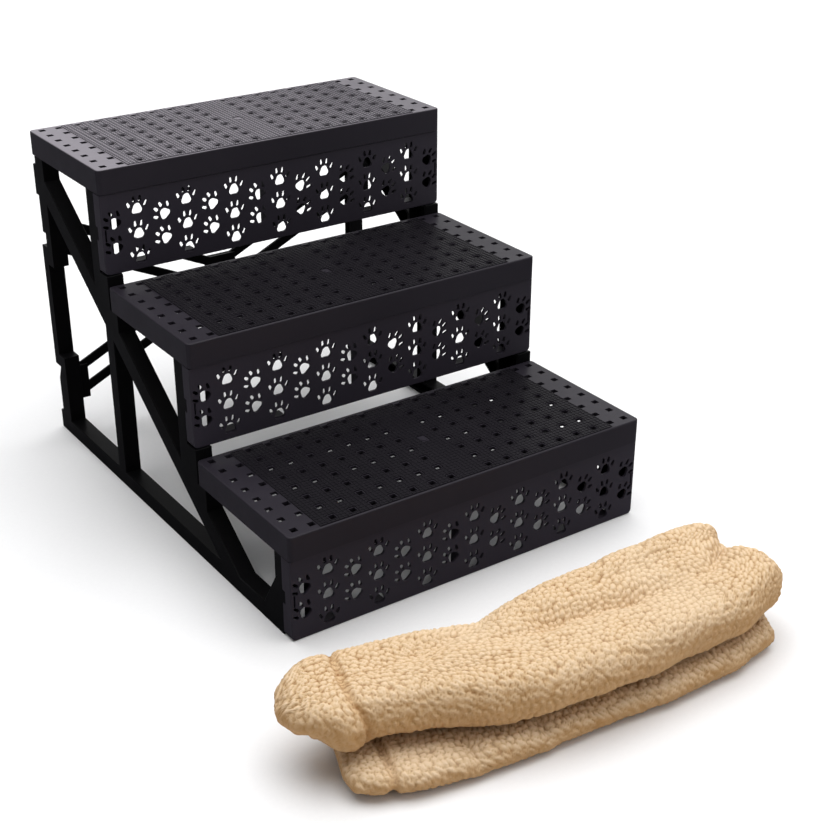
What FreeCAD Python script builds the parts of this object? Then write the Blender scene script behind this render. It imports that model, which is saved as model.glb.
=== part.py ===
"""Three-step stair for small pets: moulded treads and risers clipped to two side frames,
a crossed brace behind, and the soft cover taken off and folded in front.

Millimetres. X runs across the steps, Y from the front to the rear, Z up. The origin is the
middle of the front riser's foot, on the floor.
"""

import FreeCAD, Part
import math
import os
from FreeCAD import Vector

os.makedirs("parts", exist_ok=True)

# Overall sizes
STEP_COUNT = 3
STAIR_WIDTH = 350.0
STEP_RUN = 150.0
FIRST_RISE = 94.0
STEP_RISE = 103.0

# Mouldings
WALL = 2.4
FIT = 0.2                 # clearance between pieces that are clipped together
LIFT_FIT = 0.4            # clearance round a tread that lifts off

# Treads
TREAD_SHORT = 0.6         # a tread is this much shorter than the run
SKIRT_HEIGHT = 21.6
CORNER_RADIUS = 4.0
TOP_EDGE_RADIUS = 1.2
HOLE = 5.6
HOLE_PITCH = 18.7
HOLE_END_PITCH = 15.7     # from the last column to the one beside it
HOLE_END_MARGIN = 9.7
HOLE_FRONT_MARGIN = 9.6
HOLE_REAR_MARGIN = 8.4
RIB_DEPTH = 8.0
RIB_THICKNESS = 1.6
RIB_FROM_HOLE = 1.4
RIB_END_GAP = 2.0         # between the rib grid and the side frame
LONG_RIB_COLUMN = 5       # the lengthwise ribs run beside this column, counted from the middle

# Risers
RISER_SETBACK = 1.5
RISER_SEAM = 0.8          # the open line between a riser and the skirt above it
RISER_FOOT_GAP = 9.0      # the open strip between a riser's foot and the tread below
RISER_SIDE = 0.4          # a riser's end is this far inside the tread's end
RISER_RETURN = 12.8
RISER_FOOT_RADIUS = 4.0
RISER_EDGE_RADIUS = 1.0
RISER_RIB = 10.0
LEDGE_THICKNESS = 1.6
LEDGE_START = 88.0
LEDGE_END = 150.0
LOWER_LEDGE_UP = 6.8
UPPER_LEDGE_DOWN = 9.0
CENTRE_RIB_X = 14.0
END_RIB_FROM_END = 19.6
LOCATING_LIP = 7.0
CLIP_SLOT_WIDTH = 1.6
CLIP_SLOT_HEIGHT = 11.0
NOTCH_HEIGHT = 12.0
NOTCH_DEPTH = 4.0

# Paw cut-outs
PAW_PITCH = 46.9
PAW_ROW_PITCH = 22.2
PAW_END_MARGIN = 10.85
PAW_LOW_MARGIN = 13.2
PAW_HIGH_MARGIN = 14.0
PAW_TILT = 42.0
TILTED_PAW_DROP = 9.9     # a tilted paw's centre below the upright row above it
PAD_CIRCLES = ((0.0, -1.8, 3.9), (-2.1, -4.6, 3.1), (2.1, -4.6, 3.1))
TOES = ((-7.3, 1.2, 27.0), (-2.7, 5.9, 8.0), (2.7, 5.9, -8.0), (7.3, 1.2, -27.0))
TOE_LENGTH = 2.9
TOE_LOW_RADIUS = 1.55
TOE_HIGH_RADIUS = 1.25

# Side frames
FRAME_DEPTH = 15.0
RAIL_HEIGHT = 14.5
POST_WIDTH = 15.0
FRONT_POST_WIDTH = 10.4
GUSSET_RUN = 20.0
GUSSET_HEIGHT = 33.0
STRINGER_DROP = 42.0      # the stringer's upper end below the top deck
STRINGER_FOOT = 84.7      # the stringer's foot behind the front face
STRINGER_HEIGHT = 22.8    # measured upright
HORN_WIDTH = 13.6
REAR_POST_WIDTH = 24.4
REAR_POST_NECK = 11.9
NECK_BOTTOM = 82.0
NECK_TOP = 174.0
REAR_STEP = 5.7
REAR_NOTCH = 11.9
FOOT_CLIP = 4.5           # height of the full-depth foot above the rail
LOW_NOTCH_START = 27.0    # the lower notch, measured down from the neck
LOW_NOTCH_END = 13.0
HIGH_NOTCH_START = 17.0   # the upper notch, measured up from the neck
HIGH_NOTCH_END = 31.0
TOP_CLIP_START = 38.0     # the upper clip, measured down from the tread's skirt
TOP_CLIP_END = 9.0

# Crossed brace behind
BRACE_THICKNESS = 3.2
BRACE_RAIL = 9.0
BRACE_SPREAD = 25.0       # between the two rails of one brace, measured upright
BRACE_HIGH = 201.5
BRACE_LOW = 52.5
BRACE_TAB_HEIGHT = 35.0
BRACE_HUB_WIDTH = 32.0
BRACE_HUB_HEIGHT = 46.0

# Folded cover
COVER_LENGTH = 412.0
COVER_DEPTH = 136.0
COVER_HEIGHT = 64.0
COVER_SHIFT_X = -52.5
COVER_GAP = 92.0          # between the folded cover and the front face
COVER_ROUNDING = 24.0

HALF_WIDTH = STAIR_WIDTH / 2
TREAD_DEPTH = STEP_RUN - TREAD_SHORT
FRONT_FACE = -(RISER_SETBACK + WALL / 2)
FRAME_X = -HALF_WIDTH + RISER_SIDE
STEP_NAMES = ("bottom", "middle", "top")
TOLERANCE = 1e-6


def step_front(step):
    return FRONT_FACE + step * STEP_RUN


def deck_top(step):
    return FIRST_RISE + step * STEP_RISE


def deck_under(step):
    return deck_top(step) - WALL


def skirt_bottom(step):
    return deck_top(step) - SKIRT_HEIGHT


def riser_top(step):
    return skirt_bottom(step) - RISER_SEAM


def riser_bottom(step):
    return 0.0 if step == 0 else deck_top(step - 1) + RISER_FOOT_GAP


def block(x, y, z):
    """A box from three (low, high) pairs."""
    size = [high - low for low, high in (x, y, z)]
    return Part.makeBox(size[0], size[1], size[2], Vector(x[0], y[0], z[0]))


def edges_along(shape, axis, test):
    """The straight edges that run along an axis and whose middle passes a test."""
    chosen = []
    for edge in shape.Edges:
        run = edge.Vertexes[-1].Point - edge.Vertexes[0].Point
        if run.Length > 0 and abs(abs(run.dot(axis)) - run.Length) < TOLERANCE:
            if test(edge.CenterOfMass):
                chosen.append(edge)
    return chosen


def outline_around(circles):
    """A closed wire round a ring of circles (x, z, radius), listed counter-clockwise in XZ."""
    spans = []
    count = len(circles)
    for i in range(count):
        x0, z0, r0 = circles[i]
        x1, z1, r1 = circles[(i + 1) % count]
        length = math.hypot(x1 - x0, z1 - z0)
        bearing = math.atan2(z1 - z0, x1 - x0) - math.acos((r0 - r1) / length)
        push = Vector(math.cos(bearing), 0, math.sin(bearing))
        start = Vector(x0, 0, z0) + push * r0
        end = Vector(x1, 0, z1) + push * r1
        spans.append((start, end, bearing))
    edges = []
    for i in range(count):
        start, end, bearing = spans[i]
        edges.append(Part.makeLine(start, end))
        x, z, radius = circles[(i + 1) % count]
        next_start, _, next_bearing = spans[(i + 1) % count]
        turn = (next_bearing - bearing) % (2 * math.pi)
        middle = bearing + turn / 2
        waist = Vector(x + radius * math.cos(middle), 0, z + radius * math.sin(middle))
        edges.append(Part.Arc(end, waist, next_start).toShape())
    return Part.Wire(edges)


def paw_cutter():
    """The pad and four toes of one upright paw, as prisms that reach through a wall."""
    def prism(circles):
        face = Part.Face(outline_around(circles))
        solid = face.extrude(Vector(0, 3 * WALL, 0))
        solid.translate(Vector(0, -1.5 * WALL, 0))
        return solid

    pieces = [prism(PAD_CIRCLES)]
    for x, z, lean in TOES:
        toe = prism(((0, TOE_LENGTH, TOE_HIGH_RADIUS), (0, 0, TOE_LOW_RADIUS)))
        toe.rotate(Vector(0, 0, 0), Vector(0, 1, 0), -lean)
        toe.translate(Vector(x, 0, z - TOE_LENGTH / 2))
        pieces.append(toe)
    return pieces


def paw_places(riser_height):
    """(x, height above the riser's foot, lean) of every paw on one riser."""
    outer = HALF_WIDTH - PAW_END_MARGIN
    per_side = round(outer / PAW_PITCH - 0.5)
    pitch = outer / (per_side + 0.5)
    clear_height = riser_height - PAW_LOW_MARGIN - PAW_HIGH_MARGIN
    rows = 1 + round(clear_height / PAW_ROW_PITCH)
    row_pitch = clear_height / (rows - 1)
    places = []
    for column in range(-per_side, per_side + 1):
        for row in range(rows):
            places.append((column * pitch, PAW_LOW_MARGIN + row * row_pitch, 0.0))
    for column in range(per_side + 1):
        for row in range(rows - 1):
            height = PAW_LOW_MARGIN + (row + 1) * row_pitch - TILTED_PAW_DROP
            for side in (-1, 1):
                places.append((side * (column + 0.5) * pitch, height, side * PAW_TILT))
    return places


def hole_columns():
    """The X of every column of tread holes on one side of the middle."""
    end = HALF_WIDTH - HOLE_END_MARGIN
    inner = end - HOLE_END_PITCH
    count = round(inner / HOLE_PITCH)
    return [(i + 1) * inner / count for i in range(count)] + [end]


def hole_rows():
    """The Y of every row of tread holes behind the tread's front face."""
    clear = TREAD_DEPTH - HOLE_FRONT_MARGIN - HOLE_REAR_MARGIN
    count = 1 + round(clear / HOLE_PITCH)
    return [HOLE_FRONT_MARGIN + i * clear / (count - 1) for i in range(count)]


def tread(step):
    """An upturned tray with a pierced deck and shallow ribs beneath it."""
    front = step_front(step)
    rear = front + TREAD_DEPTH
    top = deck_top(step)
    under = deck_under(step)
    tray = block((-HALF_WIDTH, HALF_WIDTH), (front, rear), (skirt_bottom(step), top))
    corners = edges_along(tray, Vector(0, 0, 1), lambda point: True)
    tray = tray.makeFillet(CORNER_RADIUS, corners)
    rim = [edge for edge in tray.Edges if abs(edge.CenterOfMass.z - top) < TOLERANCE]
    tray = tray.makeFillet(TOP_EDGE_RADIUS, rim)
    inside = HALF_WIDTH - WALL
    tray = tray.cut(block((-inside, inside), (front + WALL, rear - WALL),
                          (skirt_bottom(step) - WALL, under)))
    ribs = []
    rib_end = -FRAME_X - FRAME_DEPTH - RIB_END_GAP
    for y in hole_rows()[0:-1:2]:
        start = front + y + HOLE / 2 + RIB_FROM_HOLE
        ribs.append(block((-rib_end, rib_end), (start, start + RIB_THICKNESS),
                          (under - RIB_DEPTH, under)))
    beside = hole_columns()[LONG_RIB_COLUMN - 1] - HOLE / 2 - RIB_FROM_HOLE
    for low in (-rib_end, -beside, -RIB_THICKNESS / 2,
                beside - RIB_THICKNESS, rib_end - RIB_THICKNESS):
        ribs.append(block((low, low + RIB_THICKNESS), (front + WALL, rear - WALL),
                          (under - RIB_DEPTH, under)))
    tray = tray.fuse(ribs)
    holes = []
    for y in hole_rows():
        for x in hole_columns():
            for centre in (-x, x):
                holes.append(block((centre - HOLE / 2, centre + HOLE / 2),
                                   (front + y - HOLE / 2, front + y + HOLE / 2),
                                   (under - WALL / 2, top + WALL)))
    return tray.cut(Part.makeCompound(holes)).removeSplitter()


def riser(step):
    """A front panel with end returns, stiffening ledges and a pattern of paw cut-outs."""
    half = -FRAME_X
    front = step_front(step) + RISER_SETBACK
    back = front + WALL
    rear = front + RISER_RETURN
    low = riser_bottom(step)
    high = riser_top(step)
    panel = block((-half, half), (front, rear), (low, high))
    feet = edges_along(panel, Vector(0, 1, 0), lambda point: point.z < low + WALL)
    panel = panel.makeFillet(RISER_FOOT_RADIUS, feet)
    nose = edges_along(panel, Vector(0, 0, 1), lambda point: point.y < front + WALL)
    panel = panel.makeFillet(RISER_EDGE_RADIUS, nose)
    panel = panel.cut(block((WALL - half, half - WALL), (back, rear + WALL),
                            (low - WALL, high - WALL)))
    lip_front = step_front(step) + WALL + LIFT_FIT
    added = [block((-LEDGE_END, LEDGE_END), (lip_front, lip_front + WALL),
                   (high - WALL, high + LOCATING_LIP))]
    ledge_rear = back + RISER_RIB
    for side in (-1, 1):
        span = sorted((side * LEDGE_START, side * LEDGE_END))
        for height in (low + LOWER_LEDGE_UP, high - UPPER_LEDGE_DOWN):
            added.append(block(span, (front + WALL / 2, ledge_rear),
                               (height - LEDGE_THICKNESS, height)))
        for x in (side * CENTRE_RIB_X, side * (half - END_RIB_FROM_END)):
            added.append(block((x - RIB_THICKNESS / 2, x + RIB_THICKNESS / 2),
                               (front + WALL / 2, ledge_rear), (low, high)))
    panel = panel.fuse(added)
    cutters = []
    for x, height, lean in paw_places(high - low):
        for prism in paw_cutter():
            prism.rotate(Vector(0, 0, 0), Vector(0, 1, 0), lean)
            prism.translate(Vector(x, front, low + height))
            cutters.append(prism)
    # the cutters stop at the panel's back, so the ledges and ribs behind stay whole
    slab = block((-half - WALL, half + WALL), (front - WALL, back), (low - WALL, high + WALL))
    cutters = [cutter.common(slab) for cutter in cutters]
    middle = (low + high) / 2
    for side in (-1, 1):
        slot_x = side * (half - WALL - CLIP_SLOT_WIDTH / 2)
        cutters.append(block((slot_x - CLIP_SLOT_WIDTH / 2, slot_x + CLIP_SLOT_WIDTH / 2),
                             (front - WALL, back + FIT),
                             (middle - CLIP_SLOT_HEIGHT / 2, middle + CLIP_SLOT_HEIGHT / 2)))
        end_x = sorted((side * (half - 2 * WALL), side * (half + WALL)))
        cutters.append(block(end_x, (rear - NOTCH_DEPTH, rear + WALL),
                             (middle - NOTCH_HEIGHT / 2, middle + NOTCH_HEIGHT / 2)))
    return panel.cut(Part.makeCompound(cutters)).removeSplitter()


def channel(points, outer_x=FRAME_X, depth=FRAME_DEPTH):
    """A left-hand member: a web of the given (y, z) outline with a lip all round its inner side."""
    corners = [Vector(outer_x, y, z) for y, z in points]
    face = Part.Face(Part.makePolygon(corners + corners[:1]))
    hollow = face.makeOffset2D(-WALL, join=2).extrude(Vector(depth, 0, 0))
    hollow.translate(Vector(WALL, 0, 0))
    return face.extrude(Vector(depth, 0, 0)).cut(hollow)


def tongue(step, y_low, y_high, base):
    """The part of a member that stands inside a tread's skirt and carries its deck."""
    outer = -HALF_WIDTH + WALL + LIFT_FIT
    inner = FRAME_X + FRAME_DEPTH
    top = deck_under(step) - FIT
    points = ((y_low, base - WALL), (y_high, base - WALL), (y_high, top), (y_low, top))
    return channel(points, outer, inner - outer)


def stringer_top(y):
    foot = FRONT_FACE + STRINGER_FOOT
    head = step_front(STEP_COUNT) - TREAD_SHORT - REAR_POST_WIDTH
    rise = deck_top(STEP_COUNT - 1) - STRINGER_DROP - RAIL_HEIGHT
    return RAIL_HEIGHT + (y - foot) * rise / (head - foot)


def stringer_low(y):
    return stringer_top(y) - STRINGER_HEIGHT


def post_edges(step):
    """(front, rear) of a post's upper part: it stands behind its riser's return."""
    front = step_front(step) + RISER_SETBACK + RISER_RETURN + FIT
    return front, front + (FRONT_POST_WIDTH if step == 0 else POST_WIDTH)


def riser_lug(step):
    """The lug that fills the notch in a riser's return."""
    front, _ = post_edges(step)
    middle = (riser_bottom(step) + riser_top(step)) / 2
    return block((FRAME_X, FRAME_X + WALL), (front - NOTCH_DEPTH, front + WALL),
                 (middle - NOTCH_HEIGHT / 2 + FIT, middle + NOTCH_HEIGHT / 2 - FIT))


def front_post():
    """The short post behind the bottom riser, with a gusset at its foot."""
    front, rear = post_edges(0)
    top = skirt_bottom(0) - FIT
    rail = RAIL_HEIGHT
    outline = ((front, rail), (rear + GUSSET_RUN, rail), (rear, rail + GUSSET_HEIGHT),
               (rear, top), (front, top))
    return channel(outline).fuse([tongue(0, front, rear, top), riser_lug(0)])


def middle_post():
    """The post behind the middle riser: it ends on the stringer's line."""
    front, rear = post_edges(1)
    top = skirt_bottom(1) - FIT
    step_in = riser_bottom(1) - FIT
    nose = step_front(1) - FIT
    outline = ((nose, stringer_low(nose)), (rear, stringer_low(rear)), (rear, top), (front, top),
               (front, step_in), (nose, step_in))
    return channel(outline).fuse([tongue(1, front, rear, top), riser_lug(1)])


def tall_post():
    """The post behind the top riser: below the stringer it is narrower and reaches the rail."""
    front, rear = post_edges(2)
    top = skirt_bottom(2) - FIT
    step_in = riser_bottom(2) - FIT
    nose = step_front(2) - FIT
    shank = nose + POST_WIDTH
    outline = ((nose, RAIL_HEIGHT), (shank, RAIL_HEIGHT), (shank, stringer_low(shank)),
               (rear, stringer_low(rear)), (rear, top), (front, top), (front, step_in), (nose, step_in))
    return channel(outline).fuse([tongue(2, front, rear, top), riser_lug(2)])


def rear_post_rear():
    return step_front(STEP_COUNT) - TREAD_SHORT


def rear_post():
    """The tallest post: a necked channel whose rear edge is stepped for its clips."""
    rear = rear_post_rear()
    front = rear - REAR_POST_WIDTH
    neck = rear - REAR_POST_NECK
    step = rear - REAR_STEP
    notch = rear - REAR_NOTCH
    top = skirt_bottom(STEP_COUNT - 1) - FIT
    foot = RAIL_HEIGHT + FOOT_CLIP
    low_start = NECK_BOTTOM - LOW_NOTCH_START
    low_end = NECK_BOTTOM - LOW_NOTCH_END
    high_start = NECK_TOP + HIGH_NOTCH_START
    high_end = NECK_TOP + HIGH_NOTCH_END
    clip_start = top - TOP_CLIP_START
    clip_end = top - TOP_CLIP_END
    outline = ((front, RAIL_HEIGHT), (rear, RAIL_HEIGHT), (rear, foot), (step, foot),
               (step, low_start), (notch, low_end), (rear, low_end), (rear, high_start),
               (notch, high_start), (notch, high_end), (step, high_end), (step, clip_start),
               (rear, clip_start), (rear, clip_end), (step, clip_end), (step, top), (front, top),
               (front, NECK_TOP), (neck, NECK_TOP), (neck, NECK_BOTTOM), (front, NECK_BOTTOM))
    inside = rear - WALL - LIFT_FIT
    return channel(outline).fuse(tongue(STEP_COUNT - 1, front, min(step, inside), top))


def base_rail():
    """The rail that lies on the floor from the front post to the rear post."""
    front, _ = post_edges(0)
    rear = rear_post_rear()
    return channel(((front, 0), (rear, 0), (rear, RAIL_HEIGHT), (front, RAIL_HEIGHT)))


def rear_stringer():
    """The sloping member between the tall post and the rear post."""
    _, low = post_edges(2)
    high = rear_post_rear() - REAR_POST_WIDTH
    return channel(((low, stringer_low(low)), (high, stringer_low(high)),
                    (high, stringer_top(high)), (low, stringer_top(low))))


def horned_stringer(step, low_end):
    """A sloping member whose upper end turns up to carry the rear of a tread."""
    high = step_front(step + 1) - FIT
    horn = high - HORN_WIDTH
    top = skirt_bottom(step) - FIT
    outline = low_end + ((high, stringer_low(high)), (high, top), (horn, top), (horn, stringer_top(horn)))
    inside = step_front(step) + TREAD_DEPTH - WALL - LIFT_FIT
    return channel(outline).fuse(tongue(step, horn, inside, top))


def middle_stringer():
    _, low = post_edges(1)
    return horned_stringer(1, ((low, stringer_top(low)), (low, stringer_low(low))))


def front_stringer():
    foot = FRONT_FACE + STRINGER_FOOT
    slope = (stringer_top(foot + 1) - stringer_top(foot))
    return horned_stringer(0, ((foot, RAIL_HEIGHT), (foot + STRINGER_HEIGHT / slope, RAIL_HEIGHT)))


def brace(layer_front, start_z, end_z):
    """Two parallel rails from the left post's clip to the right one's, tied at the ends and middle."""
    half = -FRAME_X - WALL - FIT
    tab_inner = -FRAME_X - FRAME_DEPTH + FIT
    slope = (end_z - start_z) / (2 * tab_inner)
    half_rail = BRACE_RAIL / 2 * math.hypot(1, slope)
    pieces = []
    for shift in (-BRACE_SPREAD / 2, BRACE_SPREAD / 2):
        corners = []
        for x, edge in ((-tab_inner, -1), (tab_inner, -1), (tab_inner, 1), (-tab_inner, 1)):
            z = (start_z + end_z) / 2 + x * slope + shift + edge * half_rail
            corners.append(Vector(x, layer_front, z))
        face = Part.Face(Part.makePolygon(corners + corners[:1]))
        pieces.append(face.extrude(Vector(0, BRACE_THICKNESS, 0)))
    tab_front = rear_post_rear() - REAR_POST_WIDTH + WALL + FIT
    tab_rear = tab_front + 2 * BRACE_THICKNESS + FIT
    for side, z in ((-1, start_z), (1, end_z)):
        pieces.append(block(sorted((side * (tab_inner - BRACE_RAIL), side * half)), (tab_front, tab_rear),
                            (z - BRACE_TAB_HEIGHT / 2, z + BRACE_TAB_HEIGHT / 2)))
    centre = (start_z + end_z) / 2
    pieces.append(block((-BRACE_HUB_WIDTH / 2, BRACE_HUB_WIDTH / 2),
                        (layer_front, layer_front + BRACE_THICKNESS),
                        (centre - BRACE_HUB_HEIGHT / 2, centre + BRACE_HUB_HEIGHT / 2)))
    return pieces[0].fuse(pieces[1:]).removeSplitter()


def folded_cover():
    """The soft cover as a folded bundle with rounded edges and a flat underside."""
    left = COVER_SHIFT_X - COVER_LENGTH / 2
    rear = FRONT_FACE - COVER_GAP
    bundle = block((left, left + COVER_LENGTH), (rear - COVER_DEPTH, rear), (0, COVER_HEIGHT))
    return bundle.makeFillet(COVER_ROUNDING, bundle.Edges)


def mirrored(shape):
    return shape.mirror(Vector(0, 0, 0), Vector(1, 0, 0))


def export(name, shape):
    if len(shape.Solids) != 1 or not shape.isValid():
        raise ValueError(name + " is not one valid solid")
    shape.Solids[0].exportStep("parts/" + name + ".step")


for number, step_name in enumerate(STEP_NAMES):
    export("tread_" + step_name, tread(number))
    export("riser_" + step_name, riser(number))

frame_members = {
    "base_rail": base_rail(),
    "front_post": front_post(),
    "middle_post": middle_post(),
    "tall_post": tall_post(),
    "rear_post": rear_post(),
    "front_stringer": front_stringer(),
    "middle_stringer": middle_stringer(),
    "rear_stringer": rear_stringer(),
}
for name, member in frame_members.items():
    export("left_" + name, member)
    export("right_" + name, mirrored(member))

brace_front = rear_post_rear() - REAR_POST_WIDTH + WALL + FIT
export("falling_brace", brace(brace_front, BRACE_HIGH, BRACE_LOW))
export("rising_brace", brace(brace_front + BRACE_THICKNESS + FIT, BRACE_LOW, BRACE_HIGH))
export("folded_cover", folded_cover())
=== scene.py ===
import math

import bpy
import numpy as np
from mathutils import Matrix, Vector, noise


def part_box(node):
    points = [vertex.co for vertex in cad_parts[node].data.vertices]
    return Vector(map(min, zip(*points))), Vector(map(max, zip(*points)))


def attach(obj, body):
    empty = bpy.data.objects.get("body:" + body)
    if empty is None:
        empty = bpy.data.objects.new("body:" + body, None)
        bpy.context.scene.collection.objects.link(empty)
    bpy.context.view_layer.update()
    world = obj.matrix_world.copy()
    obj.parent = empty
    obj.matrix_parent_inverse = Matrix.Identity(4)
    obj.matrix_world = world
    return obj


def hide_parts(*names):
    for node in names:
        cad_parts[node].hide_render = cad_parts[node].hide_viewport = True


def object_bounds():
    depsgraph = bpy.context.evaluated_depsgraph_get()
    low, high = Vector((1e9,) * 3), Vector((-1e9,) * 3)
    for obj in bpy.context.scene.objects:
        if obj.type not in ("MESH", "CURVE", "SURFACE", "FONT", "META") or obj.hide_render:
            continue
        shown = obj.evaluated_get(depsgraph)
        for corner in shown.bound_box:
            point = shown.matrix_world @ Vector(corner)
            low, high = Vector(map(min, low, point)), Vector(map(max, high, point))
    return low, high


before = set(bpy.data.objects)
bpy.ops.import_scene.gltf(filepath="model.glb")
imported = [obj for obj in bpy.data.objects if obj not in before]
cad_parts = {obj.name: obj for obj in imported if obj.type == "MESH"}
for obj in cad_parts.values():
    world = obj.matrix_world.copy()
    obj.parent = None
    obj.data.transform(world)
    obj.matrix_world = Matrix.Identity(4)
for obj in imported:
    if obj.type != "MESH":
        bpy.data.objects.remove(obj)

CAD_LOW, CAD_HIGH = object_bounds()

SIDES = ("left", "right")
STEPS = ("bottom", "middle", "top")
FRAME_MEMBERS = ("base_rail", "front_post", "middle_post", "tall_post", "rear_post",
                 "front_stringer", "middle_stringer", "rear_stringer")

# Camera
CAMERA_LENS = 65.3
CAMERA_PLACE = (-0.6402, -0.8380, 0.6750)
CAMERA_AZIMUTH = -34.598
CAMERA_ELEVATION = 26.509

# Studio: each lamp's name, place, size and power
LAMPS = (("softbox_above", (0.2, 0.5, 3.0), (4.0, 3.6), 134),
         ("softbox_left", (-1.9, -0.8, 1.3), (1.4, 1.2), 1.5),
         ("softbox_right", (1.6, -1.7, 1.2), (1.4, 1.2), 7),
         ("card_behind", (1.4, 3.0, 0.75), (3.0, 0.8), 6),
         ("card_right", (2.3, 2.0, 0.9), (0.9, 1.6), 3.5))
DIM_SURROUNDINGS = 0.12   # strength of the light that comes from the left
SURROUNDINGS = 0.42       # and from everywhere else
FLOOR_SIZE = 14
FLOOR_DROP = 0.0002       # how far the floor lies under what stands on it
PAPER_TONES = (0.86, 0.86, 0.87), (0.90, 0.90, 0.905)
PAPER_IN_GLOSS = (0.10, 0.10, 0.11)
PAPER_GLOW = (0.6, 0.6, 0.6)
GLOW_FROM = 1.2           # distance at which the far paper starts to glow
GLOW_FULL = 4.0

# Finishes
# pale colour of the dust specks and of the painted sheen, a film on the top tread's deck
DUST_AND_SHEEN = (0.20, 0.185, 0.21)
TREAD_TONES = (0.0190, 0.0164, 0.0225), (0.0222, 0.0192, 0.0262)
GRIP_TONES = (0.0088, 0.0078, 0.0102), (0.0112, 0.0098, 0.0130)
RISER_TONES = (0.0262, 0.0226, 0.0310), (0.0295, 0.0254, 0.0350)
FRAME_TONES = (0.0024, 0.0023, 0.0027), (0.0038, 0.0036, 0.0042)
SATIN = (0.32, 0.42)      # lowest and highest roughness
DULL_SATIN = (0.34, 0.44)
FINE_GRAIN = 2200.0
COARSE_GRAIN = 1800.0
GRAIN_DEPTH = 0.00006
FRAME_GRAIN_DEPTH = 0.00004
# pile colours: the crevice colour is painted shade, the tip colour a painted highlight, the side
# colour painted shade where the pile faces sideways
PILE_CREVICE_SHADE = (0.30, 0.145, 0.055)
PILE_BODY = (0.65, 0.450, 0.255)
PILE_TIP_HIGHLIGHT = (0.86, 0.675, 0.480)
PILE_DARK_TUFT = (0.62, 0.42, 0.22)
PILE_PALE_PATCH = (0.82, 0.67, 0.49)
PILE_SIDE_SHADE = (0.44, 0.240, 0.090)
CURL_DEPTH = 0.0009

# Mouldings
MERGE = 1e-5
FLAT_ANGLE = math.radians(0.5)
SHARP_ANGLE = math.radians(40)
SMOOTH_ANGLE = math.radians(32)
MOULD_BREAK = 0.0008      # the rounding that a moulding's sharp corners have
FRAME_BREAK = 0.0006

# Grip pattern on the decks
HOLE_PITCH = 0.0187
HOLE_COLUMNS = 8          # per side, without the last one
HOLE_ROWS = 8
HOLE_FRONT_MARGIN = 0.0096
HOLE_REAR_MARGIN = 0.0084
CELLS_PER_PITCH = 5
GRIP_HEIGHT = 0.0007
GRIP_SUNK = 0.0003        # how far the pattern's underside lies in the deck
DIMPLE_MARGIN = 0.00048   # half the width of the net between the dimples
DIMPLE_WALL = 0.00035
DIMPLE_DEPTH = 0.00048
GATE_RADIUS = 0.0028
GATE_HEIGHT = 0.00045


def deselect():
    bpy.ops.object.select_all(action="DESELECT")


def activate(piece):
    deselect()
    piece.select_set(True)
    bpy.context.view_layer.objects.active = piece


def apply_modifier(piece, kind, **settings):
    activate(piece)
    modifier = piece.modifiers.new(kind.title(), kind)
    for name, value in settings.items():
        setattr(modifier, name, value)
    bpy.ops.object.modifier_apply(modifier=modifier.name)


def edit(piece, mode="FACE"):
    activate(piece)
    bpy.ops.object.mode_set(mode="EDIT")
    bpy.ops.mesh.select_mode(type=mode)


def leave_edit():
    bpy.ops.object.mode_set(mode="OBJECT")


def select_faces(piece, test):
    """Selects, from object mode, the faces that pass a test, and goes into edit mode with them."""
    edit(piece)
    bpy.ops.mesh.select_all(action="DESELECT")
    leave_edit()
    for face in piece.data.polygons:
        face.select = test(face)
    bpy.ops.object.mode_set(mode="EDIT")


def copy_of_node(node, name):
    """A node's mesh as an object of its own, with its triangles merged into flat faces."""
    piece = bpy.data.objects.new(name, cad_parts[node].data.copy())
    bpy.context.scene.collection.objects.link(piece)
    edit(piece, "VERT")
    bpy.ops.mesh.select_all(action="SELECT")
    bpy.ops.mesh.remove_doubles(threshold=MERGE)
    bpy.ops.mesh.dissolve_limited(angle_limit=FLAT_ANGLE)
    leave_edit()
    return piece


def break_corners(piece, width):
    apply_modifier(piece, "BEVEL", width=width, segments=2, limit_method="ANGLE",
                   angle_limit=SHARP_ANGLE, use_clamp_overlap=True)
    activate(piece)
    bpy.ops.object.shade_smooth_by_angle(angle=SMOOTH_ANGLE)
    apply_modifier(piece, "WEIGHTED_NORMAL", keep_sharp=True)


def finish_piece(piece, material, body):
    piece.data.materials.clear()
    piece.data.materials.append(material)
    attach(piece, body)


# ---------------------------------------------------------------- camera, floor and light

def make_camera():
    azimuth = math.radians(CAMERA_AZIMUTH)
    elevation = math.radians(CAMERA_ELEVATION)
    back = Vector((math.sin(azimuth) * math.cos(elevation),
                   -math.cos(azimuth) * math.cos(elevation), math.sin(elevation)))
    data = bpy.data.cameras.new("camera")
    data.lens = CAMERA_LENS
    camera = bpy.data.objects.new("camera", data)
    camera.location = CAMERA_PLACE
    camera.rotation_mode = "QUATERNION"
    camera.rotation_quaternion = (-back).to_track_quat("-Z", "Y")
    bpy.context.scene.collection.objects.link(camera)
    bpy.context.scene.camera = camera


def area_light(name, place, target, size, power):
    data = bpy.data.lights.new(name, "AREA")
    data.shape = "RECTANGLE"
    data.size, data.size_y = size
    data.energy = power
    light = bpy.data.objects.new(name, data)
    light.location = place
    light.rotation_mode = "QUATERNION"
    light.rotation_quaternion = (Vector(target) - Vector(place)).to_track_quat("-Z", "Y")
    light.visible_camera = False
    bpy.context.scene.collection.objects.link(light)


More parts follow.
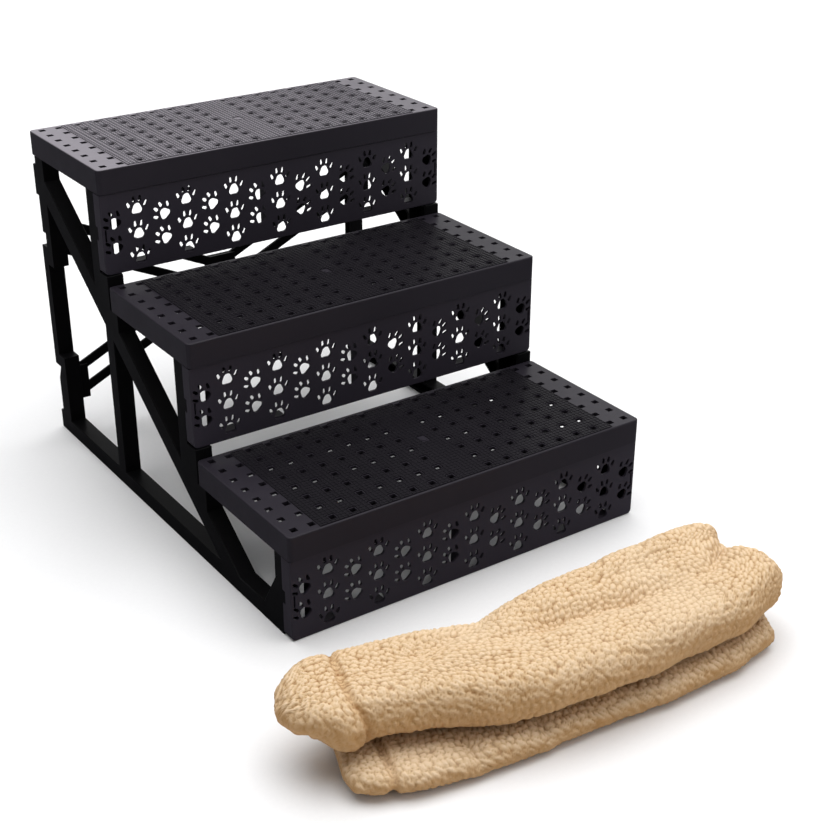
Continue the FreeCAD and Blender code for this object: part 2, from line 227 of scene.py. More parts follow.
def make_studio():
    deselect()
    bpy.ops.mesh.primitive_plane_add(size=FLOOR_SIZE, location=(0, 0, -FLOOR_DROP))
    floor = bpy.context.object
    floor.name = "studio_floor"
    floor.data.materials.append(floor_paper())
    middle = (CAD_LOW + CAD_HIGH) / 2
    for name, place, size, power in LAMPS:
        area_light(name, place, middle, size, power)
    world = bpy.data.worlds.new("studio")
    world.use_nodes = True
    tree = world.node_tree
    background = tree.nodes["Background"]
    background.inputs["Color"].default_value = (1, 1, 1, 1)
    seen = tree.nodes.new("ShaderNodeLightPath").outputs["Is Camera Ray"]
    split = tree.nodes.new("ShaderNodeSeparateXYZ")
    tree.links.new(tree.nodes.new("ShaderNodeTexCoord").outputs["Generated"], split.inputs[0])
    lit = range_node(tree, split.outputs["X"], -0.8, 0.1, DIM_SURROUNDINGS, SURROUNDINGS)
    tree.links.new(range_node(tree, seen, 0.0, 1.0, lit, 1.0), background.inputs["Strength"])
    bpy.context.scene.world = world
    bpy.context.scene.view_settings.view_transform = "Standard"


# ---------------------------------------------------------------- materials

def new_group(name, inputs, outputs):
    group = bpy.data.node_groups.new(name, "ShaderNodeTree")
    for socket, kind, value in inputs:
        made = group.interface.new_socket(socket, in_out="INPUT", socket_type=kind)
        made.default_value = value
    for socket, kind in outputs:
        group.interface.new_socket(socket, in_out="OUTPUT", socket_type=kind)
    return group, group.nodes.new("NodeGroupInput"), group.nodes.new("NodeGroupOutput")


def math_node(tree, operation, first, second=None):
    node = tree.nodes.new("ShaderNodeMath")
    node.operation = operation
    for socket, value in zip(node.inputs, (first, second)):
        if hasattr(value, "default_value"):
            tree.links.new(value, socket)
        elif value is not None:
            socket.default_value = value
    return node.outputs[0]


def noise_node(tree, vector, scale, detail, roughness=0.5):
    node = tree.nodes.new("ShaderNodeTexNoise")
    tree.links.new(vector, node.inputs["Vector"])
    node.inputs["Detail"].default_value = detail
    node.inputs["Roughness"].default_value = roughness
    if hasattr(scale, "default_value"):
        tree.links.new(scale, node.inputs["Scale"])
    else:
        node.inputs["Scale"].default_value = scale
    return node.outputs["Fac"]


def range_node(tree, value, from_low, from_high, to_low, to_high):
    node = tree.nodes.new("ShaderNodeMapRange")
    tree.links.new(value, node.inputs["Value"])
    node.inputs["From Min"].default_value = from_low
    node.inputs["From Max"].default_value = from_high
    for socket, bound in (("To Min", to_low), ("To Max", to_high)):
        if hasattr(bound, "default_value"):
            tree.links.new(bound, node.inputs[socket])
        else:
            node.inputs[socket].default_value = bound
    return node.outputs["Result"]


def mix_colours(tree, factor, first, second):
    node = tree.nodes.new("ShaderNodeMix")
    node.data_type = "RGBA"
    tree.links.new(factor, node.inputs["Factor"])
    for socket, value in ((node.inputs["A"], first), (node.inputs["B"], second)):
        if hasattr(value, "default_value"):
            tree.links.new(value, socket)
        else:
            socket.default_value = (*value, 1)
    return node.outputs["Result"]


def moulded_skin():
    """The finish of a plastic moulding: eroded grain, uneven gloss, flow marks, specks of dust
    that settle on what faces up, and a painted sheen that lies as a thin pale film on what faces
    up."""
    group, given, out = new_group(
        "moulded_skin",
        (("Grain Scale", "NodeSocketFloat", 2200.0), ("Specks", "NodeSocketFloat", 0.3),
         ("Painted Sheen", "NodeSocketFloat", 0.0)),
        (("Height", "NodeSocketFloat"), ("Gloss", "NodeSocketFloat"),
         ("Tone", "NodeSocketFloat"), ("Dust And Sheen Mask", "NodeSocketFloat")))
    place = group.nodes.new("ShaderNodeTexCoord").outputs["Object"]
    grain = noise_node(group, place, given.outputs["Grain Scale"], 3.0, 0.6)
    ripple = noise_node(group, place, 55.0, 2.0)
    height = math_node(group, "ADD", grain, math_node(group, "MULTIPLY", ripple, 1.5))
    group.links.new(height, out.inputs["Height"])
    group.links.new(noise_node(group, place, 24.0, 5.0, 0.65), out.inputs["Gloss"])
    group.links.new(noise_node(group, place, 9.0, 3.0), out.inputs["Tone"])
    split = group.nodes.new("ShaderNodeSeparateXYZ")
    group.links.new(group.nodes.new("ShaderNodeNewGeometry").outputs["Normal"], split.inputs[0])
    upward = range_node(group, split.outputs["Z"], 0.6, 1.0, 0.0, 1.0)
    specks = range_node(group, noise_node(group, place, 900.0, 4.0, 0.7), 0.56, 0.72, 0.0, 1.0)
    patches = range_node(group, noise_node(group, place, 16.0, 4.0), 0.35, 0.75, 0.1, 1.0)
    specks = math_node(group, "MULTIPLY", math_node(group, "MULTIPLY", specks, patches),
                       given.outputs["Specks"])
    # painted sheen: a pale film on what faces up
    painted_sheen = range_node(group, noise_node(group, place, 30.0, 5.0, 0.6), 0.3, 0.7, 0.75, 1.0)
    painted_sheen = math_node(group, "MULTIPLY", painted_sheen, given.outputs["Painted Sheen"])
    across = group.nodes.new("ShaderNodeSeparateXYZ")
    group.links.new(place, across.inputs[0])
    # the painted sheen is stronger towards the left end
    painted_sheen = math_node(group, "MULTIPLY", painted_sheen,
                     range_node(group, across.outputs["X"], -0.18, 0.18, 1.35, 0.65))
    dust_and_sheen = math_node(group, "MULTIPLY", math_node(group, "ADD", specks, painted_sheen), upward)
    group.links.new(dust_and_sheen, out.inputs["Dust And Sheen Mask"])
    return group


def plastic(name, group, dark, light, gloss, grain_scale, grain_depth, specks, specular, painted_sheen=0.0):
    """A charcoal plastic between two tones, with a (low, high) pair of roughnesses."""
    material = bpy.data.materials.new(name)
    material.use_nodes = True
    tree = material.node_tree
    shader = tree.nodes["Principled BSDF"]
    skin = tree.nodes.new("ShaderNodeGroup")
    skin.node_tree = group
    skin.inputs["Grain Scale"].default_value = grain_scale
    skin.inputs["Specks"].default_value = specks
    skin.inputs["Painted Sheen"].default_value = painted_sheen
    tone = range_node(tree, skin.outputs["Tone"], 0.3, 0.7, 0.0, 1.0)
    colour = mix_colours(tree, tone, dark, light)
    # dust specks and the painted sheen lighten the colour
    colour = mix_colours(tree, skin.outputs["Dust And Sheen Mask"], colour, DUST_AND_SHEEN)
    tree.links.new(colour, shader.inputs["Base Color"])
    rough = range_node(tree, skin.outputs["Gloss"], 0.3, 0.7, *gloss)
    tree.links.new(rough, shader.inputs["Roughness"])
    shader.inputs["Specular IOR Level"].default_value = specular
    bump = tree.nodes.new("ShaderNodeBump")
    bump.inputs["Strength"].default_value = 0.5
    bump.inputs["Distance"].default_value = grain_depth
    tree.links.new(skin.outputs["Height"], bump.inputs["Height"])
    tree.links.new(bump.outputs["Normal"], shader.inputs["Normal"])
    return material


def floor_paper():
    material = bpy.data.materials.new("floor_paper")
    material.use_nodes = True
    tree = material.node_tree
    shader = tree.nodes["Principled BSDF"]
    place = tree.nodes.new("ShaderNodeTexCoord").outputs["Object"]
    fibre = noise_node(tree, place, 300.0, 4.0)
    paper = mix_colours(tree, fibre, *PAPER_TONES)
    # the mouldings' gloss meets a dimmer paper, which keeps their steep sides black
    in_gloss = tree.nodes.new("ShaderNodeLightPath").outputs["Is Glossy Ray"]
    tree.links.new(mix_colours(tree, in_gloss, paper, PAPER_IN_GLOSS), shader.inputs["Base Color"])
    shader.inputs["Roughness"].default_value = 0.85
    shader.inputs["Specular IOR Level"].default_value = 0.2
    # the paper stays pale far from the lamps
    distance = tree.nodes.new("ShaderNodeVectorMath")
    distance.operation = "LENGTH"
    tree.links.new(place, distance.inputs[0])
    far = range_node(tree, distance.outputs["Value"], GLOW_FROM, GLOW_FULL, 0.0, 1.0)
    seen = tree.nodes.new("ShaderNodeLightPath").outputs["Is Camera Ray"]
    glow = mix_colours(tree, math_node(tree, "MULTIPLY", far, seen), (0, 0, 0), PAPER_GLOW)
    tree.links.new(glow, shader.inputs["Emission Color"])
    shader.inputs["Emission Strength"].default_value = 1.0
    return material


def sherpa():
    """Curly pile: painted shade in the crevices and a painted highlight on the tops of tufts of
    slightly different tones, and painted shade, darker and warmer, where the pile faces sideways."""
    material = bpy.data.materials.new("sherpa_fleece")
    material.use_nodes = True
    tree = material.node_tree
    shader = tree.nodes["Principled BSDF"]
    place = tree.nodes.new("ShaderNodeTexCoord").outputs["Object"]
    tuft = tree.nodes.new("ShaderNodeAttribute")
    tuft.attribute_name = "tuft"
    tone = tree.nodes.new("ShaderNodeAttribute")
    tone.attribute_name = "tuft_tone"
    curls = noise_node(tree, place, 620.0, 4.0, 0.65)
    cloudy = noise_node(tree, place, 14.0, 3.0)
    ragged = math_node(tree, "ADD", tuft.outputs["Fac"],
                       range_node(tree, curls, 0.3, 0.7, -0.16, 0.16))
    # painted shade: the crevices between the tufts turn dark brown
    crevice_shade = range_node(tree, ragged, 0.16, 0.55, 0.0, 1.0)
    shade = mix_colours(tree, crevice_shade, PILE_CREVICE_SHADE, PILE_BODY)
    # painted highlight: the tops of the tufts turn pale
    tip_highlight = range_node(tree, ragged, 0.5, 1.0, 0.0, 1.0)
    shade = mix_colours(tree, tip_highlight, shade, PILE_TIP_HIGHLIGHT)
    own = range_node(tree, tone.outputs["Fac"], 0.0, 1.0, 0.0, 0.28)
    shade = mix_colours(tree, own, shade, PILE_DARK_TUFT)
    patch = range_node(tree, cloudy, 0.4, 0.65, 0.0, 0.25)
    shade = mix_colours(tree, patch, shade, PILE_PALE_PATCH)
    split = tree.nodes.new("ShaderNodeSeparateXYZ")
    tree.links.new(tree.nodes.new("ShaderNodeNewGeometry").outputs["Normal"], split.inputs[0])
    # painted shade: darker and warmer where the pile faces sideways
    side_shade = range_node(tree, split.outputs["Z"], 0.2, 0.95, 0.8, 0.0)
    shade = mix_colours(tree, side_shade, shade, PILE_SIDE_SHADE)
    tree.links.new(shade, shader.inputs["Base Color"])
    shader.inputs["Roughness"].default_value = 0.95
    shader.inputs["Specular IOR Level"].default_value = 0.1
    shader.inputs["Sheen Weight"].default_value = 0.12
    shader.inputs["Sheen Tint"].default_value = (1.0, 0.82, 0.6, 1)
    shader.inputs["Sheen Roughness"].default_value = 0.5
    bump = tree.nodes.new("ShaderNodeBump")
    bump.inputs["Strength"].default_value = 0.9
    bump.inputs["Distance"].default_value = CURL_DEPTH
    tree.links.new(curls, bump.inputs["Height"])
    tree.links.new(bump.outputs["Normal"], shader.inputs["Normal"])
    return material


# ---------------------------------------------------------------- mouldings

def make_tread(step, material, grip_material):
    """The pierced tray with broken corners, the dimpled grip on its deck and the gate's scar."""
    node = "tread_" + step
    body = step + "_tread"
    tray = copy_of_node(node, node + "_tray")
    break_corners(tray, MOULD_BREAK)
    finish_piece(tray, material, body)
    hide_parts(node)
    make_grip(step, grip_material)
    make_gate_mark(step, material)


def make_grip(step, material):
    low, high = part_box("tread_" + step)
    cell_x = HOLE_PITCH / CELLS_PER_PITCH
    first_row = low.y + HOLE_FRONT_MARGIN
    last_row = high.y - HOLE_REAR_MARGIN
    row_pitch = (last_row - first_row) / (HOLE_ROWS - 1)
    cell_y = row_pitch / CELLS_PER_PITCH
    half_columns = HOLE_COLUMNS * CELLS_PER_PITCH - 1
    rows = (HOLE_ROWS - 1) * CELLS_PER_PITCH + 3
    centre_y = (first_row - 2 * cell_y + last_row + cell_y) / 2
    deselect()
    bpy.ops.mesh.primitive_grid_add(x_subdivisions=2 * half_columns, y_subdivisions=rows, size=1,
                                    location=(0, 0, 0))
    grip = bpy.context.object
    grip.name = "tread_" + step + "_grip"
    edit(grip)
    bpy.ops.mesh.select_all(action="SELECT")
    bpy.ops.transform.resize(value=(2 * half_columns * cell_x, rows * cell_y, 1))
    bpy.ops.transform.translate(value=(0, centre_y, high.z + GRIP_HEIGHT))
    leave_edit()

    def near_hole(face):
        column = abs(face.center.x) / HOLE_PITCH
        row = (face.center.y - first_row) / row_pitch
        off_column = abs(column - round(column)) * CELLS_PER_PITCH
        off_row = abs(row - round(row)) * CELLS_PER_PITCH
        from_middle = face.center.y - (low.y + high.y) / 2
        beside_gate = math.hypot(face.center.x, from_middle) < 2 * GATE_RADIUS
        return (off_column < 1 and off_row < 1 and round(column) > 0) or beside_gate

    select_faces(grip, near_hole)
    bpy.ops.mesh.delete(type="FACE")
    leave_edit()
    apply_modifier(grip, "SOLIDIFY", thickness=GRIP_HEIGHT + GRIP_SUNK, offset=-1)
    select_faces(grip, lambda face: face.normal.z > 0.9)
    bpy.ops.mesh.inset(thickness=DIMPLE_MARGIN, use_individual=True)
    bpy.ops.mesh.inset(thickness=DIMPLE_WALL, use_individual=True)
    bpy.ops.transform.translate(value=(0, 0, -DIMPLE_DEPTH))
    leave_edit()
    finish_piece(grip, material, step + "_tread")


def make_gate_mark(step, material):
    low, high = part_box("tread_" + step)
    deselect()
    bpy.ops.mesh.primitive_cylinder_add(vertices=32, radius=GATE_RADIUS, depth=2 * GATE_HEIGHT,
                                        location=(0, (low.y + high.y) / 2, high.z))
    mark = bpy.context.object
    mark.name = "tread_" + step + "_gate_mark"
    bpy.ops.object.transform_apply(location=True)
    select_faces(mark, lambda face: face.normal.z > 0.9)
    bpy.ops.mesh.inset(thickness=GATE_RADIUS / 3)
    bpy.ops.transform.translate(value=(0, 0, -GATE_HEIGHT / 2))
    leave_edit()
    break_corners(mark, GATE_HEIGHT / 3)
    finish_piece(mark, material, step + "_tread")


def make_riser(step, material):
    node = "riser_" + step
    panel = copy_of_node(node, node + "_panel")
    break_corners(panel, MOULD_BREAK)
    finish_piece(panel, material, "stair")
    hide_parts(node)


def make_side_frame(side, material):
    """One moulding: the rail, posts and sloping members of a side, united."""
    nodes = [side + "_" + member for member in FRAME_MEMBERS]
    whole = copy_of_node(nodes[0], side + "_side_frame")
    for node in nodes[1:]:
        member = copy_of_node(node, node + "_copy")
        apply_modifier(whole, "BOOLEAN", operation="UNION", object=member, solver="EXACT")
        bpy.data.objects.remove(member)
    edit(whole, "VERT")
    bpy.ops.mesh.select_all(action="SELECT")
    bpy.ops.mesh.remove_doubles(threshold=MERGE)
    bpy.ops.mesh.dissolve_limited(angle_limit=FLAT_ANGLE)
    leave_edit()
    break_corners(whole, FRAME_BREAK)
    finish_piece(whole, material, "stair")
    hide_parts(*nodes)


def make_brace(name, material):
    arm = copy_of_node(name, name + "_arm")
    break_corners(arm, FRAME_BREAK)
    finish_piece(arm, material, "stair")
    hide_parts(name)


# ---------------------------------------------------------------- folded cover

CLOTH = 0.0076            # thickness of the cloth without its tufts
TUFT = 0.0049             # width of one tuft
TUFT_HEIGHT = 0.0021
TUFT_SEED = 11
STATIONS = 322
INNER_STRIDE = 8
SEAM_WIDTH = 0.0030
SEAM_DEPTH = 0.0026
SEAM_MATTING = 0.4        # how much of the pile a seam presses flat
FLOOR_CLEARANCE = 0.0002

# Plan of the cover: where its lower and its upper fold start on the left, and their lengths
LOWER_START = -0.234
LOWER_SPAN = 0.361
UPPER_START = -0.254
UPPER_SPAN = 0.410

# Folds inside the roll and at its back
LOWER_BACK_TURN = 0.006
UPPER_BACK_TURN = 0.008
INNER_TURN = 0.004
INNER_INSET = 0.026
GAPE = 0.0035             # how far the roll lifts off the lower fold, about one place
GAPE_PLACE = -0.03
GAPE_REACH = 0.06
UPPER_TUCK = 0.016
LOWER_TUCK = 0.011

# Closing of the ends: (reach, drop) of the roll on the left and on the right, and of the fold
ROLL_CLOSINGS = ((0.024, 0.017), (0.026, 0.015))
FOLD_CLOSING = (0.011, 0.0080)
ROLL_BASE = 0.036         # height from which the roll's ends fall
FOLD_TOP = 0.021          # height under which all is the lower fold
UNDERSIDE_LIFT = 0.004

# Long soft wrinkles: height, place in plan, size, and turn
WRINKLES = (
    (0.0055, (0.071, -0.128), (0.085, 0.012), 0.02),
    (-0.0085, (-0.004, -0.166), (0.075, 0.010), -0.10),
    (-0.0040, (-0.050, -0.154), (0.014, 0.011), 0.0),
    (-0.0035, (0.020, -0.174), (0.014, 0.012), 0.0),
    (-0.0050, (-0.124, -0.134), (0.048, 0.010), 0.05),
    (0.0020, (-0.109, -0.162), (0.050, 0.014), -0.10),
    (-0.0085, (0.121, -0.157), (0.030, 0.008), 0.55),
    (0.0030, (0.144, -0.178), (0.016, 0.020), 0.3))
PINCHES = ((0.0048, (-0.151, -0.203), (0.007, 0.016), 0.0),
           (0.0030, (-0.096, -0.212), (0.005, 0.014), 0.0))
DENT_PLACE = (-0.244, -0.146, 0.038)
DENT_SIZE = (0.014, 0.016, 0.009)
DENT_PUSH = (0.009, 0.006)
SLACK_SCALE = (22, 34, 60)
SLACK_RISE = 0.0020
SLACK_SHIFT = 0.0018

# Height of the cloth's middle line in each layer, counted from the floor up
LAYER_1 = 0.0047
LAYER_2 = 0.0160
LAYER_3 = 0.0275
LAYER_4 = 0.0350
LAYER_5 = 0.0425
LAYER_6 = 0.0500
LAYER_7 = 0.0578

# Front and rear edges of the lower and the upper fold: (x, y) in plan
LOWER_FRONT = ((-0.236, -0.175), (-0.230, -0.191), (-0.216, -0.198), (-0.194, -0.205),
               (-0.162, -0.212), (-0.108, -0.218), (-0.048, -0.221), (0.011, -0.228),
               (0.081, -0.228), (0.136, -0.216))
LOWER_REAR = ((-0.234, -0.105), (-0.124, -0.107), (0.137, -0.111))
UPPER_FRONT = ((-0.254, -0.149), (-0.244, -0.164), (-0.230, -0.172), (-0.215, -0.169),
               (-0.207, -0.170), (-0.170, -0.182), (-0.128, -0.204), (-0.085, -0.216),
               (-0.035, -0.224), (0.012, -0.224), (0.109, -0.223), (0.156, -0.209))
UPPER_REAR = ((-0.254, -0.102), (-0.236, -0.095), (-0.199, -0.099), (-0.150, -0.110),
              (-0.100, -0.123), (-0.034, -0.116), (0.030, -0.112), (0.100, -0.115),
              (0.156, -0.113))

# Side edges of the cloth and its seams: (share of the depth from the rear to the front, x)
UPPER_LEFT_END = ((0, -0.232), (0.15, -0.249), (0.45, -0.257), (0.85, -0.257), (1, -0.247))
UPPER_RIGHT_END = ((0, 0.142), (0.14, 0.147), (0.26, 0.138), (0.42, 0.143), (0.66, 0.152),
                   (0.86, 0.148), (1, 0.131))
LOWER_LEFT_END = ((0, -0.209), (0.5, -0.224), (0.75, -0.232), (0.92, -0.233), (1, -0.226))
LOWER_RIGHT_END = ((0, 0.112), (0.4, 0.133), (0.75, 0.137), (1, 0.124))
INNER_LEFT_END = ((0, -0.204), (1, -0.230))
INNER_RIGHT_END = ((0, 0.108), (1, 0.118))
UPPER_SEAM = ((0, -0.200), (0.25, -0.206), (0.55, -0.214), (0.85, -0.218), (1, -0.210))
LOWER_SEAM = ((0, -0.194), (0.6, -0.201), (0.85, -0.207), (1, -0.211))


def along(table, values):
    xs, ys = zip(*table)
    return np.interp(values, xs, ys)


def smoothed(values, axis, times):
    for _ in range(times):
        padded = np.concatenate([values.take([0], axis), values, values.take([-1], axis)], axis)
        count = values.shape[axis]
        before, after = (padded.take(range(i, i + count), axis) for i in (0, 2))
        values = (before + 2 * values + after) / 4
    return values


def layer(y_from, y_to, height, samples, crowd=1.0):
    """A flat run of the cloth's middle line at every station, its points crowded to the far end."""
    share = 1 - (1 - np.linspace(0, 1, samples)[None, :]) ** crowd
    y = y_from[:, None] + (y_to - y_from)[:, None] * share
    z = np.broadcast_to(np.asarray(height).reshape(-1, 1), y.shape)
    return y, z


def turn(y_edge, bulge, z_from, z_to, samples):
    """A fold: half an ellipse that bulges from an edge, forwards where bulge is negative."""
    angle = np.linspace(0, math.pi, samples + 2)[None, 1:-1]
    y = y_edge[:, None] + bulge * np.sin(angle)
    z_from, z_to = (np.asarray(z).reshape(-1, 1) for z in (z_from, z_to))
    z = z_from + (z_to - z_from) * (1 - np.cos(angle)) / 2
    return y, z + 0 * y


def cloth_line():
    """The folded cloth's middle surface: its grid, and the distances to its ends and seams."""
    across = np.linspace(0, 1, STATIONS)
    lower_x = LOWER_START + LOWER_SPAN * across
    upper_x = UPPER_START + UPPER_SPAN * across
    lower = smoothed(along(LOWER_FRONT, lower_x), 0, 40)
    upper = smoothed(along(UPPER_FRONT, upper_x), 0, 12)
    lower_rear = smoothed(along(LOWER_REAR, lower_x), 0, 40)
    upper_rear = smoothed(along(UPPER_REAR, upper_x), 0, 40)
    half = CLOTH / 2
    lower_reach = (LAYER_2 - LAYER_1) / 2 + 0.003
    upper_reach = (LAYER_7 - LAYER_3) / 2 + 0.001
    lower_turn = lower + half + lower_reach
    upper_turn = upper + half + upper_reach
    lower_back = lower_rear - half - LOWER_BACK_TURN
    upper_back = upper_rear - half - UPPER_BACK_TURN
    inner_front = upper + INNER_INSET
    inner_back = upper_back - INNER_TURN
    gape = GAPE * np.exp(-((upper_x - GAPE_PLACE) / GAPE_REACH) ** 2)
    runs = (
        ("lower", layer(lower_rear, lower_turn, LAYER_1, 12)),
        ("lower", turn(lower_turn, -lower_reach, LAYER_1, LAYER_2, 24)),
        ("lower", layer(lower_turn, lower_back, LAYER_2, 36, 0.62)),
        ("lower", turn(lower_back, LOWER_BACK_TURN, LAYER_2, LAYER_3, 10)),
        ("upper", layer(lower_back, upper_turn, LAYER_3 + gape, 12)),
        ("upper", turn(upper_turn, -upper_reach, LAYER_3 + gape, LAYER_7, 40)),
        ("upper", layer(upper_turn, upper_back, LAYER_7, 82)),
        ("upper", turn(upper_back, UPPER_BACK_TURN, LAYER_7, LAYER_6, 16)),
        ("inner", layer(inner_back, inner_front, LAYER_6, 6)),
        ("inner", turn(inner_front, -INNER_TURN, LAYER_6, LAYER_5, 4)),
        ("inner", layer(inner_front, inner_back, LAYER_5, 6)),
        ("inner", turn(inner_back, INNER_TURN, LAYER_5, LAYER_4, 4)),
        ("inner", layer(inner_back, inner_front, LAYER_4, 6)),
    )
    y = np.concatenate([run[0] for _, run in runs], 1)
    z = np.concatenate([run[1] for _, run in runs], 1)
    kinds = np.array([kind for kind, run in runs for _ in range(run[0].shape[1])])
    y = smoothed(y, 1, 2)
    z = smoothed(z, 1, 2)
    left = np.zeros_like(y)
    right = np.zeros_like(y)
    seam = np.zeros_like(y)
    for kind, front, rear, left_end, right_end, seam_line in (
            ("lower", lower, lower_rear, LOWER_LEFT_END, LOWER_RIGHT_END, LOWER_SEAM),
            ("upper", upper, upper_rear, UPPER_LEFT_END, UPPER_RIGHT_END, UPPER_SEAM),
            ("inner", upper, upper_rear, INNER_LEFT_END, INNER_RIGHT_END, UPPER_SEAM)):
        of_kind = kinds == kind
        depth = (y[:, of_kind] - rear[:, None]) / (front - rear)[:, None]
        left[:, of_kind] = along(left_end, depth)
        right[:, of_kind] = along(right_end, depth)
        seam[:, of_kind] = along(seam_line, depth)
    # what lies under the roll, and under the lower fold, ends short of what covers it
    tuck = (UPPER_TUCK * np.clip((0.041 - z) / 0.013, 0, 1) * (kinds == "upper")
            + LOWER_TUCK * np.clip((0.012 - z) / 0.007, 0, 1) * (kinds == "lower"))
    left = smoothed(left + tuck, 1, 6)
    right = smoothed(right - tuck, 1, 6)
    x = left + (right - left) * across[:, None]
    return np.stack([x, y, z], 2), x - left, right - x, np.abs(x - smoothed(seam, 1, 6))


def bump_at(x, y, centre, size, turned):
    """A soft round-topped rise of height 1 at a place in plan, longer along one direction."""
    c, s = math.cos(turned), math.sin(turned)
    u = ((x - centre[0]) * c + (y - centre[1]) * s) / size[0]
    v = (-(x - centre[0]) * s + (y - centre[1]) * c) / size[1]
    return np.exp(-u ** 2 - v ** 2)


def shape_ends(grid, from_left, from_right):
    """Closes the upper roll over the ends of what lies in it, and the lower fold on itself."""
    height = grid[:, :, 2].copy()
    fold_reach, fold_drop = FOLD_CLOSING
    for distance, (reach, drop) in zip((from_left, from_right), ROLL_CLOSINGS):
        share = 1 - np.clip(distance / reach, 0, 1)
        fall = 1 - np.sqrt(1 - share ** 2)
        top = np.clip((height - ROLL_BASE) / (LAYER_7 - ROLL_BASE), 0, 1)
        grid[:, :, 2] -= fall * top * drop
        low = (height > FOLD_TOP) * np.clip((ROLL_BASE - height) / 0.006, 0, 1)
        grid[:, :, 2] += fall * low * UNDERSIDE_LIFT
        share = 1 - np.clip(distance / fold_reach, 0, 1)
        closing = 1 - np.sqrt(1 - share ** 2)
        cap = (height <= FOLD_TOP) * np.clip((height - LAYER_1) / (LAYER_2 - LAYER_1), 0, 1)
        grid[:, :, 2] -= closing * cap * fold_drop


def wrinkle(grid):
    """Long soft wrinkles on the top, the left bulb's dimple, the right ear's valley, and slack."""
    x, y, z = (grid[:, :, i].copy() for i in range(3))
    above = np.clip((z - LAYER_3) / (LAYER_7 - LAYER_3), 0, 1)
    relief = sum(rise * bump_at(x, y, *shape) for rise, *shape in WRINKLES)
    grid[:, :, 2] += above * relief
    low_top = (z < 0.022) * np.clip((z - LAYER_1) / (LAYER_2 - LAYER_1), 0, 1)
    pinches = sum(depth * bump_at(x, y, *shape) for depth, *shape in PINCHES)
    grid[:, :, 2] -= low_top * pinches
    dent = np.exp(-((x - DENT_PLACE[0]) / DENT_SIZE[0]) ** 2
                  - ((y - DENT_PLACE[1]) / DENT_SIZE[1]) ** 2
                  - ((z - DENT_PLACE[2]) / DENT_SIZE[2]) ** 2)
    grid[:, :, 0] += DENT_PUSH[0] * dent
    grid[:, :, 1] += DENT_PUSH[1] * dent
    slack = np.zeros_like(z)
    for place in np.ndindex(z.shape):
        at = Vector([value[place] * scale for value, scale in zip((x, y, z), SLACK_SCALE)])
        slack[place] = noise.noise(at) + 0.5 * noise.noise(at * 2.3)
    grid[:, :, 2] += slack * SLACK_RISE * np.clip((z - 0.012) / 0.02, 0, 1)
    grid[:, :, 1] += slack * SLACK_SHIFT


def unit(vectors):
    return vectors / np.maximum(np.linalg.norm(vectors, axis=-1, keepdims=True), 1e-12)


def run_lengths(grid, axis):
    step = np.linalg.norm(np.diff(grid, axis=axis), axis=2)
    first = np.zeros_like(grid[:, :, 0]).take([0], axis)
    return np.concatenate([first, np.cumsum(step, axis)], axis)


def tufts(across, down):
    """The height, 0 to 1, of the curly pile at places on the flat cloth, and each tuft's tone."""
    u = across / TUFT + 2
    v = down / TUFT + 2
    draw = np.random.default_rng(TUFT_SEED)
    size = (3, int(u.max()) + 4, int(v.max()) + 4)
    centre_u, centre_v, tones = draw.uniform(0.08, 0.92, size)
    nearest = np.full_like(u, 9.0)
    second = np.full_like(u, 9.0)
    tone = np.zeros_like(u)
    for du, dv in np.ndindex(3, 3):
        i = np.floor(u).astype(int) + du - 1
        j = np.floor(v).astype(int) + dv - 1
        away = np.hypot(i + centre_u[i, j] - u, j + centre_v[i, j] - v)
        closer = away < nearest
        second = np.where(closer, nearest, np.minimum(second, away))
        tone = np.where(closer, tones[i, j], tone)
        nearest = np.minimum(nearest, away)
    dome = np.sqrt(np.clip(1 - (nearest / 0.95) ** 2, 0, 1))
    crevice = np.clip((second - nearest) / 0.35, 0, 1) ** 0.6
    return dome * (0.25 + 0.75 * crevice) * (0.8 + 0.2 * tone), tone


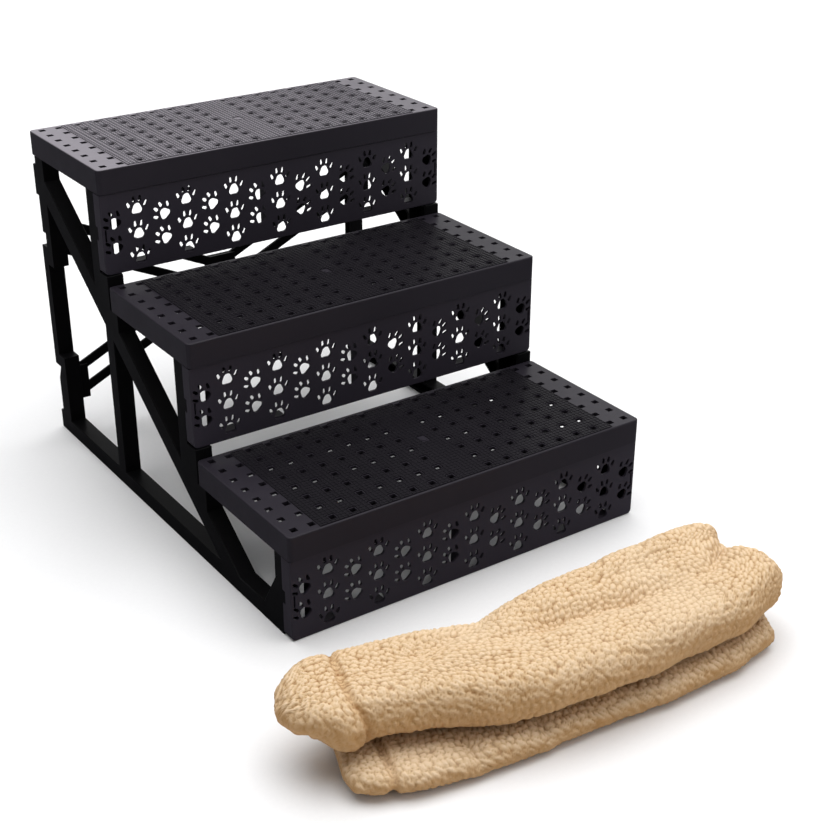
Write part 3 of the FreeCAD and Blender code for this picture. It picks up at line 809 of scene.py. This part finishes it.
def make_cover(material):
    grid, from_left, from_right, from_seam = cloth_line()
    shape_ends(grid, from_left, from_right)
    wrinkle(grid)
    normal = unit(np.cross(np.gradient(grid, axis=0), np.gradient(grid, axis=1)))
    down = run_lengths(grid, 1)
    pile, tone = tufts(run_lengths(grid, 0), down)
    edge = np.minimum(np.minimum(from_left, from_right), np.minimum(down, down[:, -1:] - down))
    round_edge = np.sqrt(np.clip(1 - (1 - np.clip(edge / (CLOTH / 2), 0, 1)) ** 2, 0.03, 1))
    seam = np.exp(-(from_seam / SEAM_WIDTH) ** 2)
    pile = pile * (1 - SEAM_MATTING * seam)
    half = CLOTH / 2 * round_edge
    height = half - SEAM_DEPTH * seam + TUFT_HEIGHT * (pile - 0.5) * round_edge
    outer = grid + normal * height[:, :, None]
    # the hidden side needs far fewer points
    kept = list(range(0, grid.shape[1] - 1, INNER_STRIDE)) + [grid.shape[1] - 1]
    inner = (grid - normal * half[:, :, None])[:, kept]
    ring = np.concatenate([outer, inner[:, ::-1]], 1)
    ring[:, :, 2] = np.maximum(ring[:, :, 2], FLOOR_CLEARANCE)
    columns = grid.shape[1]
    count = ring.shape[1]
    place = np.arange(STATIONS * count).reshape(STATIONS, count)
    after = np.roll(place, -1, 1)
    faces = np.stack([place[:-1], after[:-1], after[1:], place[1:]], 2).reshape(-1, 4).tolist()
    for a, b in zip(range(len(kept) - 1), range(1, len(kept))):
        strip = list(range(kept[a], kept[b] + 1)) + [columns + len(kept) - 1 - b,
                                                     columns + len(kept) - 1 - a]
        faces.append(strip[::-1])
        faces.append([place[-1, 0] + p for p in strip])
    mesh = bpy.data.meshes.new("folded_fleece_cover")
    mesh.from_pydata(ring.reshape(-1, 3).tolist(), [], faces)
    for name, values in (("tuft", pile), ("tuft_tone", tone)):
        around = np.concatenate([values, values[:, kept][:, ::-1]], 1)
        attribute = mesh.attributes.new(name, "FLOAT", "POINT")
        attribute.data.foreach_set("value", around.astype(np.float32).ravel())
    cover = bpy.data.objects.new("folded_fleece_cover", mesh)
    bpy.context.scene.collection.objects.link(cover)
    edit(cover)
    bpy.ops.mesh.select_all(action="SELECT")
    bpy.ops.mesh.normals_make_consistent(inside=False)
    leave_edit()
    activate(cover)
    bpy.ops.object.shade_smooth()
    finish_piece(cover, material, "cover")
    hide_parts("folded_cover")


make_camera()
make_studio()
skin = moulded_skin()
tread_plastic = plastic("tread_plastic", skin, *TREAD_TONES, gloss=SATIN, grain_scale=FINE_GRAIN,
                        grain_depth=GRAIN_DEPTH, specks=0.10, specular=0.14)
grip_plastic = plastic("grip_plastic", skin, *GRIP_TONES, gloss=DULL_SATIN, grain_scale=FINE_GRAIN,
                       grain_depth=GRAIN_DEPTH, specks=0.10, specular=0.06)
# the top tread's plastic: dust specks and a film of painted sheen
dusty_sheen_plastic = plastic("tread_plastic_dusty_with_painted_sheen", skin, *TREAD_TONES, gloss=SATIN,
                        grain_scale=FINE_GRAIN, grain_depth=GRAIN_DEPTH, specks=0.15,
                        specular=0.14, painted_sheen=0.95)
riser_plastic = plastic("riser_plastic", skin, *RISER_TONES, gloss=DULL_SATIN,
                        grain_scale=FINE_GRAIN, grain_depth=GRAIN_DEPTH, specks=0.05,
                        specular=0.14)
frame_plastic = plastic("frame_plastic", skin, *FRAME_TONES, gloss=SATIN, grain_scale=COARSE_GRAIN,
                        grain_depth=FRAME_GRAIN_DEPTH, specks=0.04, specular=0.06)
for step_name in STEPS:
    # the top tread gets the painted sheen as well as dust
    top_with_sheen = step_name == "top"
    make_tread(step_name, dusty_sheen_plastic if top_with_sheen else tread_plastic,
               dusty_sheen_plastic if top_with_sheen else grip_plastic)
    make_riser(step_name, riser_plastic)
for side_name in SIDES:
    make_side_frame(side_name, frame_plastic)
for brace_name in ("falling_brace", "rising_brace"):
    make_brace(brace_name, frame_plastic)
make_cover(sherpa())
